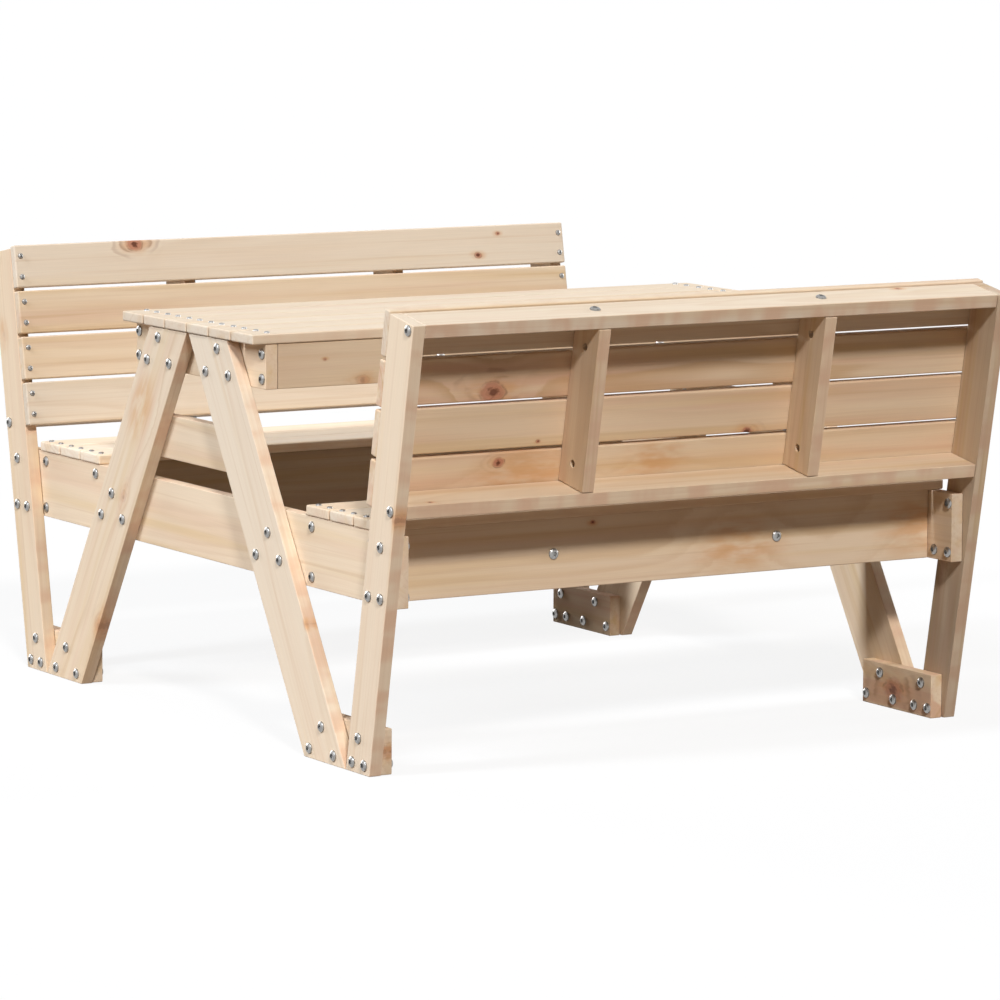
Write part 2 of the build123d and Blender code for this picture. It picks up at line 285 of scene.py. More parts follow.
drawNames = ("reach", "turn", "slopeAcross", "slopeThrough", "shift", "light", "warmth", "spread")
knotLayers = ("knotOne", "knotTwo", "knotThree")
layerNames = ("boardSpot", "pithSpot", "boardFace", "boardTintAndPaintedLight", *knotLayers, "knotDark")
woodDraws = np.random.default_rng(boardLooks["seed"])


# Offset of points from the tree's middle, which lies behind the board and slants a little along it
def pithOffset(local, draw):
    reach = boardLooks["pithNear"] + draw["reach"] * (boardLooks["pithFar"] - boardLooks["pithNear"])
    turn = math.pi / 2 + (draw["turn"] - 0.5) * boardLooks["pithSwing"]
    pith = reach * np.array([math.cos(turn), math.sin(turn)])
    slope = (np.array([draw["slopeAcross"], draw["slopeThrough"]]) - 0.5) * 2 * boardLooks["pithSlant"]
    return local[:, 1:] - pith - slope * local[:, :1]


# How far points lie on an end and on a long edge: 1 on such a face, falling to 0 one radius inside it
def faceShares(local, surface):
    slant = np.where(local[:, 0] < 0, *surface["slants"]) * local[:, 1]
    square = np.column_stack([local[:, 0] - slant, local[:, 1]])
    shares = np.clip(1 - (surface["half"][:2] - np.abs(square)) / surface["radius"], 0, 1)
    if surface["radius"] == boardLooks["roundSoft"]:
        shares[:, 1] *= boardLooks["softEdge"]
    return shares


# Layers that the pine material reads: the place of every point in its board, its offset from the tree's
# middle, which faces it is on, the board's tone, with painted light and shade on some boards, and its knots.
# A point belongs to the board with the nearest middle.
def woodLayers(piece, node, surfaces):
    world = meshSpots(piece.data)
    middles = np.array([surface["middle"] for surface in surfaces])
    owner = np.argmin(((world[:, None] - middles) ** 2).sum(2), axis=1)
    layers = {name: np.zeros((len(world), 3)) for name in layerNames}
    for number, surface in enumerate(surfaces):
        mine = owner == number
        draw = dict(zip(drawNames, woodDraws.random(len(drawNames))))
        local = (world[mine] - surface["middle"]) @ surface["axes"].T - surface["centre"]
        plain = (draw["warmth"] ** 2 * boardLooks["paleShare"], draw["light"], draw["warmth"])
        # Listed boards take their tones from the table, some of them painted light and shade; the others
        # draw theirs
        pale, light, warmth = boardTonesAndPaintedLight.get(node, plain)
        layers["boardSpot"][mine] = local
        layers["pithSpot"][mine, :2] = pithOffset(local, draw)
        layers["pithSpot"][mine, 2] = draw["shift"] * boardLooks["ringShift"]
        layers["boardFace"][mine, :2] = faceShares(local, surface)
        layers["boardFace"][mine, 2] = pale
        layers["boardTintAndPaintedLight"][mine] = (light, warmth, draw["spread"])
        for place, mark in enumerate(boardKnots.get(node, [])):
            layers[knotLayers[place]][mine] = mark[:3]
            layers["knotDark"][mine, place] = mark[3]
    for name, values in layers.items():
        vectors = piece.data.attributes.new(name, "FLOAT_VECTOR", "POINT")
        vectors.data.foreach_set("vector", values.astype(np.float32).reshape(-1))


# Gives a socket a link or a value
def feed(tree, socket, value):
    if isinstance(value, bpy.types.NodeSocket):
        tree.links.new(value, socket)
    else:
        socket.default_value = value


# One maths node on numbers
def num(tree, operation, *values, clamp=False):
    node = tree.nodes.new("ShaderNodeMath")
    node.operation = operation
    node.use_clamp = clamp
    for socket, value in zip(node.inputs, values):
        feed(tree, socket, value)
    return node.outputs[0]


# One maths node on vectors
def vec(tree, operation, first, second):
    node = tree.nodes.new("ShaderNodeVectorMath")
    node.operation = operation
    feed(tree, node.inputs[0], first)
    feed(tree, node.inputs["Scale" if operation == "SCALE" else 1], second)
    return node.outputs["Vector"]


# All values times one another
def product(tree, *values):
    result = values[0]
    for value in values[1:]:
        result = num(tree, "MULTIPLY", result, value)
    return result


# Noise at a place, about 0.5 on average
def noise(tree, place, detail=2.0):
    node = tree.nodes.new("ShaderNodeTexNoise")
    feed(tree, node.inputs["Vector"], place)
    node.inputs["Scale"].default_value = 1.0
    node.inputs["Detail"].default_value = detail
    return node.outputs["Fac"]


# Smooth step: 0 up to the low value and 1 from the high one
def ramp(tree, value, low, high):
    node = tree.nodes.new("ShaderNodeMapRange")
    node.interpolation_type = "SMOOTHSTEP"
    for name, given in (("Value", value), ("From Min", low), ("From Max", high)):
        feed(tree, node.inputs[name], given)
    return node.outputs["Result"]


# One minus the smooth step
def fade(tree, value, low, high):
    return num(tree, "SUBTRACT", 1.0, ramp(tree, value, low, high))


# Two colours mixed by the second one's share
def mix(tree, share, first, second):
    node = tree.nodes.new("ShaderNodeMix")
    node.data_type = "RGBA"
    feed(tree, node.inputs["Factor"], share)
    firstColour, secondColour = node.inputs[6:8]        # the sockets before them take numbers and vectors
    feed(tree, firstColour, first)
    feed(tree, secondColour, second)
    return node.outputs[2]


# The three numbers in a vector
def parts(tree, vector):
    node = tree.nodes.new("ShaderNodeSeparateXYZ")
    feed(tree, node.inputs[0], vector)
    return node.outputs


# A vector of three numbers
def joined(tree, *values):
    node = tree.nodes.new("ShaderNodeCombineXYZ")
    for socket, value in zip(node.inputs, values):
        feed(tree, socket, value)
    return node.outputs[0]


# A layer of the mesh, by its name
def layer(tree, name):
    node = tree.nodes.new("ShaderNodeAttribute")
    node.attribute_name = name
    return node.outputs["Vector"]


# Empty node group, with what it takes and what it gives
def newGroup(name, takes, gives):
    group = bpy.data.node_groups.new(name, "ShaderNodeTree")
    for direction, sockets in (("INPUT", takes), ("OUTPUT", gives)):
        for socket, kind in sockets.items():
            group.interface.new_socket(name=socket, in_out=direction, socket_type="NodeSocket" + kind)
    return group, group.nodes.new("NodeGroupInput").outputs, group.nodes.new("NodeGroupOutput").inputs


# A node group placed in a material, with its own values
def placeGroup(tree, group, **values):
    node = tree.nodes.new("ShaderNodeGroup")
    node.node_tree = group
    for name, value in values.items():
        feed(tree, node.inputs[name], value)
    return node.outputs


# Scales of noise are for each metre: along the board, across it and through it
ringLooks = {
    "shift": (1.0, 1.7, 2.3),           # how the shift of a board moves its noise on each axis
    "wanderScale": (2.4, 16.0, 16.0),
    "rise": (0.1, 0.8),                 # where in a ring it darkens
    "fall": (0.8, 1.0),                 # and where it pales again
    "uneven": 1.5,                      # a higher power leaves more of the rings faint
    "toneAlong": 1.6,                   # how fast the strength of the rings changes along the board
    "toneOutward": 60.0,                # and from ring to ring, for each metre
}


# Growth rings: distance from the tree's middle, with a slow wander, over the ring spacing.
# Each ring darkens slowly outwards and ends more sharply, by an amount of its own.
def growthRingsGroup():
    takes = {"Spot": "Vector", "Pith": "Vector", "Bend": "Float", "Spacing": "Float", "Wander": "Float"}
    group, given, out = newGroup("growthRings", takes, {"Late": "Float", "Tone": "Float"})
    across, through, shift = parts(group, given["Pith"])
    shiftSpot = joined(group, *(num(group, "MULTIPLY", shift, factor) for factor in ringLooks["shift"]))
    wanderSpot = vec(group, "MULTIPLY", given["Spot"], ringLooks["wanderScale"])
    slow = num(group, "SUBTRACT", noise(group, vec(group, "ADD", wanderSpot, shiftSpot)), 0.5)
    squares = num(group, "ADD", product(group, across, across), product(group, through, through))
    distance = num(group, "MULTIPLY_ADD", slow, given["Wander"], num(group, "SQRT", squares))
    distance = num(group, "ADD", distance, given["Bend"])
    phase = num(group, "DIVIDE", distance, given["Spacing"])
    share = num(group, "FRACT", phase)
    rise = ramp(group, share, *ringLooks["rise"])
    fall = fade(group, share, *ringLooks["fall"])
    white = group.nodes.new("ShaderNodeTexWhiteNoise")
    white.noise_dimensions = "1D"
    feed(group, white.inputs["W"], num(group, "ADD", num(group, "FLOOR", phase), shift))
    depth = num(group, "POWER", white.outputs["Value"], ringLooks["uneven"])
    feed(group, out["Late"], product(group, rise, fall, depth))
    toneAlong = num(group, "MULTIPLY", parts(group, given["Spot"])[0], ringLooks["toneAlong"])
    toneOutward = num(group, "MULTIPLY", distance, ringLooks["toneOutward"])
    feed(group, out["Tone"], noise(group, joined(group, toneAlong, toneOutward, shift)))
    return group


knotMarks = ("Heart", "Body", "Rim", "Arch", "Halo", "Bend")

# Reaches are in radii of the knot
knotLooks = {
    "near": {"stretch": 1.35, "scale": (90.0, 120.0, 120.0), "rough": 0.7},
    "ragged": {"stretch": 1.2, "scale": (130.0, 190.0, 190.0), "rough": 1.2},
    "wide": {"stretch": 1.9, "scale": (16.0, 60.0, 60.0), "rough": 1.1},
    "least": 0.0005,                    # a mark with a smaller radius is none, in metres
    "tiny": 0.0001,                     # keeps the division by the radius safe
    "heart": (0.15, 0.6),               # reaches over which the heart fades
    "body": (0.5, 1.2),
    "halo": (0.4, 2.2),
    "rimIn": (0.75, 0.92),
    "rimOut": (0.95, 1.15),
    "breakScale": (60.0, 90.0, 90.0),   # noise that breaks the rim
    "breaks": (0.42, 0.62),
    "archSpacing": 0.75,
    "archRise": (0.15, 0.75),
    "archFall": (0.75, 1.0),
    "archIn": (1.0, 1.3),
    "archOut": (1.3, 2.9),
    "archRadius": (0.005, 0.011),       # radii between which a knot gains its arches, in metres
    "sideScale": (22.0, 34.0, 34.0),    # noise that keeps the arches to one side
    "side": (0.44, 0.60),
    "rounds": 2.6,                      # rings in the body, for each radius
    "roundRise": (0.3, 0.9),
    "roundDepth": 0.45,
    "patchScale": (26.0, 85.0, 85.0),   # noise that makes the stain patchy
    "patches": (0.25, 0.65),
    "bendFall": -0.16,                  # how fast the push on the rings fades, by the square of the reach
    "bendDepth": 1.1,                   # how far a knot pushes the rings, in radii
}


# Knot: distance from its middle, stretched along the board and roughened, over its radius.
# It has a ragged dark heart, a body, a broken rim, arched lines around it and a patchy stain, and it pushes
# the rings aside.
def knotGroup():
    gives = {mark: "Float" for mark in knotMarks}
    group, given, out = newGroup("knot", {"Spot": "Vector", "Knot": "Vector", "Dark": "Float"}, gives)
    along, across, _ = parts(group, given["Spot"])
    knotAlong, knotAcross, radius = parts(group, given["Knot"])
    safe = num(group, "MAXIMUM", radius, knotLooks["tiny"])
    aside = num(group, "DIVIDE", num(group, "SUBTRACT", along, knotAlong), safe)
    drop = num(group, "DIVIDE", num(group, "SUBTRACT", across, knotAcross), safe)
    drops = num(group, "MULTIPLY", drop, drop)

    # Noise over the board at a scale
    def grain(scale):
        return noise(group, vec(group, "MULTIPLY", given["Spot"], scale))

    # Length of the stretched offset plus a share of noise
    def reach(stretch, scale, rough):
        short = num(group, "DIVIDE", aside, stretch)
        length = num(group, "SQRT", num(group, "MULTIPLY_ADD", short, short, drops))
        return num(group, "MULTIPLY_ADD", num(group, "SUBTRACT", grain(scale), 0.5), rough, length)

    # Band between two reaches: one smooth step less the next
    def band(inner, rise, outer, fall):
        return num(group, "SUBTRACT", ramp(group, inner, *rise), ramp(group, outer, *fall))

    near = reach(**knotLooks["near"])
    ragged = reach(**knotLooks["ragged"])
    wide = reach(**knotLooks["wide"])
    there = num(group, "GREATER_THAN", radius, knotLooks["least"])
    dark = num(group, "MULTIPLY", given["Dark"], there)
    heart = fade(group, ragged, *knotLooks["heart"])
    body = fade(group, near, *knotLooks["body"])
    rim = band(near, knotLooks["rimIn"], near, knotLooks["rimOut"])
    broken = ramp(group, grain(knotLooks["breakScale"]), *knotLooks["breaks"])
    turns = num(group, "FRACT", num(group, "DIVIDE", wide, knotLooks["archSpacing"]))
    rise = ramp(group, turns, *knotLooks["archRise"])
    line = product(group, rise, fade(group, turns, *knotLooks["archFall"]))
    around = band(near, knotLooks["archIn"], wide, knotLooks["archOut"])
    oneSide = ramp(group, grain(knotLooks["sideScale"]), *knotLooks["side"])
    large = ramp(group, radius, *knotLooks["archRadius"])
    arches = num(group, "MULTIPLY", line, product(group, around, oneSide, large), clamp=True)
    rounds = num(group, "FRACT", num(group, "MULTIPLY", near, knotLooks["rounds"]))
    inside = product(group, ramp(group, rounds, *knotLooks["roundRise"]), body, knotLooks["roundDepth"])
    lines = num(group, "MAXIMUM", arches, inside)
    patches = ramp(group, grain(knotLooks["patchScale"]), *knotLooks["patches"])
    halo = fade(group, wide, *knotLooks["halo"])
    bend = num(group, "EXPONENT", product(group, near, near, knotLooks["bendFall"]))
    factors = {"Heart": (heart, dark), "Body": (body, dark), "Rim": (rim, broken, dark),
               "Arch": (lines, dark), "Halo": (halo, patches, there),
               "Bend": (bend, radius, knotLooks["bendDepth"])}
    for mark in knotMarks:
        feed(group, out[mark], product(group, *factors[mark]))
    return group


fibreLooks = {
    "tintShift": (31.0, 47.0, 59.0),    # how the tint of a board moves its noise
    "nextShift": (17.0, 5.0, 11.0),     # and each kind of noise from the one before
    "scales": {"Fine": (14.0, 1100.0, 1100.0), "Line": (2.2, 210.0, 210.0),
               "Yellow": (1.3, 46.0, 46.0), "Pink": (1.9, 34.0, 34.0)},
}


# Fibres: noise drawn out along the board, fine for the fibres themselves and broad for soft streaks
def fibresGroup():
    gives = {name: "Float" for name in fibreLooks["scales"]}
    group, given, out = newGroup("fibres", {"Spot": "Vector", "Tint": "Vector"}, gives)
    shift = vec(group, "MULTIPLY", given["Tint"], fibreLooks["tintShift"])
    for name, scale in fibreLooks["scales"].items():
        spot = vec(group, "ADD", vec(group, "MULTIPLY", given["Spot"], scale), shift)
        feed(group, out[name], noise(group, spot))
        shift = vec(group, "ADD", shift, fibreLooks["nextShift"])
    return group


growthRings = growthRingsGroup()
knot = knotGroup()
fibres = fibresGroup()

pineFinish = {
    "early": (0.780, 0.620, 0.440, 1),
    "pale": (0.785, 0.685, 0.555, 1),
    "late": (0.560, 0.360, 0.190, 1),
    "yellow": (0.690, 0.500, 0.265, 1),
    "pink": (0.690, 0.465, 0.320, 1),
    "halo": (0.640, 0.340, 0.140, 1),
    "body": (0.500, 0.195, 0.125, 1),
    "arch": (0.300, 0.135, 0.070, 1),
    "heart": (0.110, 0.036, 0.020, 1),
    "ringSpacing": 0.0085,
    "ringSpread": (0.7, 0.65),          # a board's spacing is its spread times the first plus the second
    "ringWander": 0.020,
    "ringDepth": 0.60,
    "ringTones": (0.25, 0.7),           # noise over which the rings gain their strength
    "ringWarmth": (0.5, 0.4),           # their strength is the warmth times the first plus the second
    "lineDepth": 0.30,
    "lines": (0.52, 0.8),
    "yellowDepth": 0.75,
    "yellows": (0.48, 0.78),
    "pinkDepth": 0.60,
    "pinks": (0.42, 0.75),
    "pinkLeast": 0.3,                   # warmth that even a cool board has
    "richLoss": -0.7,                   # how far a pale board loses its streaks
    "edgeDepth": 0.80,
    "bandScale": (30.0, 4.0, 14.0),
    "bandShift": (9.0, 8.0, 7.0),
    "bands": (0.38, 0.66),
    "haloDepth": 0.65,
    "bodyDepth": 0.85,
    "archDepth": 0.60,
    "heartDepth": 0.92,
    "rimShare": 0.45,
    "toneSpread": 0.10,                 # from the darkest plain board to the lightest
    "fineDepth": 0.14,
    "endPale": 0.35,                    # ends are paler in hue
    "endShade": -0.06,                  # and darker
    "roughness": 0.58,
    "fineRough": 0.16,
    "lateRough": -0.1,                  # late wood is smoother
    "specular": 0.08,
    "sheen": 0.12,
    "bump": 0.12,
    "bumpDepth": 0.0006,
    "lateBump": 0.6,                    # late wood stands up, beside the fibres
}


# Strongest mark among the three knots of a board, for each kind of mark
def strongestMarks(tree, spot):
    darks = parts(tree, layer(tree, "knotDark"))
    knots = []
    for name, dark in zip(knotLayers, darks):
        knots.append(placeGroup(tree, knot, Spot=spot, Knot=layer(tree, name), Dark=dark))
    strongest = {}
    for mark in knotMarks:
        pair = num(tree, "MAXIMUM", knots[0][mark], knots[1][mark])
        strongest[mark] = num(tree, "MAXIMUM", pair, knots[2][mark])
    return strongest


# Planed pine: rings, streaks and fibres mixed from pale early wood to tan late wood, with knots over them.
# Narrow edges take soft bands across them, and the fibres' fuzz shows as a faint sheen.
def pineMaterial(name, finish):
    material = bpy.data.materials.new(name)
    material.use_nodes = True
    tree = material.node_tree
    shader = tree.nodes["Principled BSDF"]
    spot = layer(tree, "boardSpot")
    toneAndPaintedLight = layer(tree, "boardTintAndPaintedLight")
    end, edge, pale = parts(tree, layer(tree, "boardFace"))
    light, warmth, spread = parts(tree, toneAndPaintedLight)
    marks = strongestMarks(tree, spot)
    spacing = num(tree, "MULTIPLY_ADD", spread, *finish["ringSpread"])
    spacing = num(tree, "MULTIPLY", spacing, finish["ringSpacing"])
    rings = placeGroup(tree, growthRings, Spot=spot, Pith=layer(tree, "pithSpot"), Bend=marks["Bend"],
                       Spacing=spacing, Wander=finish["ringWander"])
    fibre = placeGroup(tree, fibres, Spot=spot, Tint=toneAndPaintedLight)

    rich = num(tree, "MULTIPLY_ADD", pale, finish["richLoss"], 1.0)
    warm = num(tree, "ADD", warmth, finish["pinkLeast"])
    rosy = product(tree, ramp(tree, fibre["Pink"], *finish["pinks"]), warm, rich)
    golden = product(tree, ramp(tree, fibre["Yellow"], *finish["yellows"]), rich)
    ringWarmth = num(tree, "MULTIPLY_ADD", warmth, *finish["ringWarmth"])
    ringed = product(tree, rings["Late"], ramp(tree, rings["Tone"], *finish["ringTones"]), ringWarmth)
    lined = ramp(tree, fibre["Line"], *finish["lines"])
    bandShift = vec(tree, "MULTIPLY", toneAndPaintedLight, finish["bandShift"])
    bandSpot = vec(tree, "ADD", vec(tree, "MULTIPLY", spot, finish["bandScale"]), bandShift)
    banded = product(tree, edge, ramp(tree, noise(tree, bandSpot), *finish["bands"]))
    darkest = num(tree, "MAXIMUM", marks["Heart"], product(tree, marks["Rim"], finish["rimShare"]))

    # Each colour goes over those before it, and its share is a mask times a depth
    faded = num(tree, "MULTIPLY_ADD", end, finish["endPale"], pale)
    colour = mix(tree, faded, finish["early"], finish["pale"])
    washes = ((rosy, "pinkDepth", "pink"), (golden, "yellowDepth", "yellow"), (ringed, "ringDepth", "late"),
              (lined, "lineDepth", "late"), (banded, "edgeDepth", "pink"),
              (marks["Halo"], "haloDepth", "halo"), (marks["Body"], "bodyDepth", "body"),
              (marks["Arch"], "archDepth", "arch"), (darkest, "heartDepth", "heart"))
    for mask, depth, wash in washes:
        colour = mix(tree, num(tree, "MULTIPLY", mask, finish[depth], clamp=True), colour, finish[wash])
    # A board's light value scales its colour: its own tone and, on some boards, painted light and shade
    shade = num(tree, "MULTIPLY_ADD", num(tree, "SUBTRACT", light, 0.5), finish["toneSpread"], 1.0)
    shade = num(tree, "MULTIPLY_ADD", num(tree, "SUBTRACT", fibre["Fine"], 0.5), finish["fineDepth"], shade)
    shade = num(tree, "MULTIPLY_ADD", end, finish["endShade"], shade)
    feed(tree, shader.inputs["Base Color"], vec(tree, "SCALE", colour, shade))

    roughness = num(tree, "MULTIPLY_ADD", fibre["Fine"], finish["fineRough"], finish["roughness"])
    roughness = num(tree, "MULTIPLY_ADD", rings["Late"], finish["lateRough"], roughness)
    feed(tree, shader.inputs["Roughness"], roughness)
    bump = tree.nodes.new("ShaderNodeBump")
    bump.inputs["Strength"].default_value = finish["bump"]
    bump.inputs["Distance"].default_value = finish["bumpDepth"]
    height = num(tree, "MULTIPLY_ADD", rings["Late"], finish["lateBump"], fibre["Fine"])
    feed(tree, bump.inputs["Height"], height)
    feed(tree, shader.inputs["Normal"], bump.outputs["Normal"])
    shader.inputs["Specular IOR Level"].default_value = finish["specular"]
    shader.inputs["Sheen Weight"].default_value = finish["sheen"]
    return material


zincFinish = {
    "colour": (0.36, 0.355, 0.345, 1),
    "dull": (0.17, 0.165, 0.16, 1),
    "cloudScale": (420.0, 420.0, 420.0),
    "cloudDetail": 4.0,
    "clouds": (0.45, 0.8),              # noise over which the metal turns dull
    "roughness": 0.20,
    "cloudRough": 0.25,
}


# Zinc plating: a grey metal, clouded by noise
def zincMaterial(name, finish):
    material = bpy.data.materials.new(name)
    material.use_nodes = True
    tree = material.node_tree
    shader = tree.nodes["Principled BSDF"]
    place = tree.nodes.new("ShaderNodeTexCoord").outputs["Object"]
    cloud = noise(tree, vec(tree, "MULTIPLY", place, finish["cloudScale"]), finish["cloudDetail"])
    colour = mix(tree, ramp(tree, cloud, *finish["clouds"]), finish["colour"], finish["dull"])
    feed(tree, shader.inputs["Base Color"], colour)
    roughness = num(tree, "MULTIPLY_ADD", cloud, finish["cloudRough"], finish["roughness"])
    feed(tree, shader.inputs["Roughness"], roughness)
    shader.inputs["Metallic"].default_value = 1.0
    return material


pine = pineMaterial("planedPine", pineFinish)
zinc = zincMaterial("brightZinc", zincFinish)
print("materials ready")


# Normals turned outwards: the signed volume of a closed mesh is positive when they already are
def outward(piece):
    mesh = piece.data
    mesh.calc_loop_triangles()
    ids = np.empty(len(mesh.loop_triangles) * 3, np.int32)
    mesh.loop_triangles.foreach_get("vertices", ids)
    a, b, c = meshSpots(mesh)[ids.reshape(-1, 3)].transpose(1, 0, 2)
    if np.einsum("ij,ij->", a, np.cross(b, c)) < 0:
        mesh.flip_normals()


# Closed rod along X: two circles of points joined by quads, with a face at each end
def rod(start, end, radius, around):
    turn = circle(around)
    ring = np.column_stack([np.zeros(around), radius * np.cos(turn), radius * np.sin(turn)])
    ids = np.arange(2 * around).reshape(2, around)
    faces = gridQuads(ids).tolist() + [ids[0].tolist(), ids[1, ::-1].tolist()]
    return np.concatenate([start + ring, end + ring]), faces


# Hole cut by a closed mesh, applied at once
def drill(piece, surface):
    spots, faces = surface
    cutter = meshPiece("cutter", spots, faces, pine)
    outward(cutter)
    cut = piece.modifiers.new("hole", "BOOLEAN")
    cut.operation = "DIFFERENCE"
    cut.solver = "EXACT"
    cut.object = cutter
    shaped = bpy.data.meshes.new_from_object(piece.evaluated_get(bpy.context.evaluated_depsgraph_get()))
    piece.modifiers.remove(cut)
    plain = piece.data
    piece.data = shaped
    bpy.data.meshes.remove(plain)
    cutterMesh = cutter.data
    bpy.data.objects.remove(cutter)
    bpy.data.meshes.remove(cutterMesh)


# One board for each solid of a CAD node, drilled by the cutters where it has any
def makeBoards(node, axes, radius, slants=(0.0, 0.0), cutters=(), edgeSeam=0.0):
    surfaces = [boardSurface(points, axes, radius, slants, edgeSeam) for points in nodeSolids(node)]
    starts = np.cumsum([0] + [len(surface["spots"]) for surface in surfaces])
    spots = np.concatenate([s["spots"] @ s["axes"] + s["middle"] for s in surfaces])
    faces = []
    for start, surface in zip(starts, surfaces):
        faces += (surface["quads"] + start).tolist() + (surface["corners"] + start).tolist()
    piece = meshPiece(node + "-board", spots, faces, pine)
    outward(piece)
    for cutter in cutters:
        drill(piece, cutter)
    woodLayers(piece, node, surfaces)
    piece.data.set_sharp_from_angle(angle=math.radians(boardLooks["sharpAngle"]))
    crisp = piece.modifiers.new("crispFaces", "WEIGHTED_NORMAL")
    crisp.weight = boardLooks["flatWeight"]
    crisp.keep_sharp = True
    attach(piece, "root")
    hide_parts(node)


barrelLooks = {
    "radius": 0.0048,
    "around": 24,
    "recess": 0.0065,                   # how far its rim lies in from the end of its CAD solid
    "bulge": 0.0004,                    # how far its face stands out from its rim
    "bulgeShare": 0.72,                 # width of that face, as a share of the radius
    "slot": (0.62, 0.16),               # slot's half length and half width, as shares of the radius
    "slotDepth": 0.0012,                # below the rim
    "holeRadius": 0.0052,
    "holeAround": 28,
    "floor": 0.0005,                    # room behind the barrel nut
}
barrelSolids = nodeSolids("barrel_nuts")
barrels = np.array([(points.min(0) + points.max(0)) / 2 for points in barrelSolids])
barrelHalf = np.ptp(barrelSolids[0][:, 0]) / 2


# Stud with its blind holes for barrel nuts: each cutter is a rod from outside the stud to behind the nut
def makeStud(node, axes):
    low, high = (np.array(corner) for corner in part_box(node))
    cutters = []
    for barrel in barrels[((barrels > low) & (barrels < high)).all(1)]:
        start = np.array([low[0] - barrelLooks["recess"], barrel[1], barrel[2]])
        end = barrel + [barrelHalf + barrelLooks["floor"], 0, 0]
        cutters.append(rod(start, end, barrelLooks["holeRadius"], barrelLooks["holeAround"]))
    makeBoards(node, axes, firm, cutters=cutters)


# Slant of a level cut: the share of a board's width by which its end moves along it
def levelCut(axes):
    return -axes[1, 2] / axes[0, 2]


soft = boardLooks["roundSoft"]
firm = boardLooks["roundFrame"]
for number in range(1, 7):
    makeBoards(f"table_board_{number}", flat(), soft)
makeBoards("table_crosspieces", crossways(), firm)
for endName in endNames:
    makeBoards(f"seat_beam_{endName}", crossways(), firm)
    makeBoards(f"table_cleat_{endName}", crossways(), firm)
    makeBoards(f"leg_brace_{endName}", crossways(), firm)
for sideName, side in sides.items():
    slatAxes = lengthways(side * backLean)
    railAxes = slatAxes[[0, 2, 1]]
    aLegAxes = leaning(-side * aLean)
    backLegAxes = leaning(side * backLean)
    makeBoards(f"table_apron_{sideName}", lengthways(), firm)
    for number in range(1, 4):
        makeBoards(f"seat_board_{sideName}_{number}", flat(), soft)
    for railName in ("inner", "outer"):
        makeBoards(f"seat_rail_{sideName}_{railName}", lengthways(), firm)
    makeBoards(f"seat_crosspieces_{sideName}", crossways(), firm)
    for number in range(1, 5):
        makeBoards(f"back_slat_{sideName}_{number}", slatAxes, soft)
    for railName in ("top", "bottom"):
        makeBoards(f"back_{railName}_rail_{sideName}", railAxes, firm, edgeSeam=boardLooks["railSeam"])
    for number in (1, 2):
        makeStud(f"back_stud_{sideName}_{number}", backLegAxes)
    for endName in endNames:
        place = f"{endName}_{sideName}"
        makeBoards(f"foot_block_{place}", crossways(), firm)
        makeBoards(f"a_leg_{place}", aLegAxes, firm, (levelCut(aLegAxes), levelCut(aLegAxes)))
        makeBoards(f"back_leg_{place}", backLegAxes, firm, (levelCut(backLegAxes), 0.0))
print("boards made")

bolt = {"radius": 0.0070, "height": 0.0030}
screw = {"radius": 0.0040, "height": 0.0018}

# Pairs are shares of the head's radius and of its height
headLooks = {
    "around": 18,
    "dome": ((0.97, 0.42), (0.70, 0.90)),
    "socket": 0.46,                     # corner of the hexagon, as a share of the radius
    "depth": 0.85,                      # of the socket, as a share of the height
    "sharpAngle": 40,                   # edges that turn by more than this shade as sharp, in degrees
    "shank": 0.004,                     # points of a bolt further than this from its axis are its head's
    "level": 0.05,                      # an axis that climbs by less than this share is level
    "upright": 0.9,                     # and one that climbs by more than this is upright
    "seed": 5,
}
crossLooks = {
    "around": 12,
    "shoulder": (0.9, 0.65),
    "arm": 0.52,                        # reach of the cross, as a share of the radius
    "notch": 0.16,                      # reach of the corners between its arms
    "mouth": 1.05,                      # the cross is a little wider at the top
    "bottom": (0.7, 0.3),               # and narrower at its foot, as shares of the cross and of the height
}


# Rings of points turned about the axis and joined by quads, closed by one face at the bottom of the recess
def ringSurface(turn, rings):
    spots = [np.column_stack([r * np.cos(turn), r * np.sin(turn), np.full_like(turn, h)]) for r, h in rings]
    ids = np.arange(len(rings) * len(turn)).reshape(-1, len(turn))
    return np.concatenate(spots), gridQuads(ids), ids[-1:]


# Domed head with a hexagon socket: its rings go from the rim over the dome and down into the socket
def domedHead(radius, height):
    turn = circle(headLooks["around"])
    hexagon = math.cos(math.pi / 6) / np.cos(turn % (math.pi / 3) - math.pi / 6)
    socket = headLooks["socket"] * radius * hexagon
    full = np.full_like(turn, radius)
    rings = [(full, -boardLooks["seam"])]
    rings += [(wide * full, tall * height) for wide, tall in headLooks["dome"]]
    rings += [(socket, height), (socket, (1 - headLooks["depth"]) * height)]
    return ringSurface(turn, rings)


# Pan head with a cross recess: the inner rings take the outline of a cross, with three points to a quarter
def crossHead(radius, height):
    turn = circle(crossLooks["around"], 0.5)
    inCorner = np.arange(crossLooks["around"]) % 3 == 1
    cross = np.where(inCorner, crossLooks["notch"], crossLooks["arm"]) * radius
    full = np.full_like(turn, radius)
    wide, tall = crossLooks["shoulder"]
    narrow, short = crossLooks["bottom"]
    rings = [(full, -boardLooks["seam"]), (full * wide, tall * height),
             (cross * crossLooks["mouth"], height), (cross * narrow, short * height)]
    return ringSurface(turn, rings)


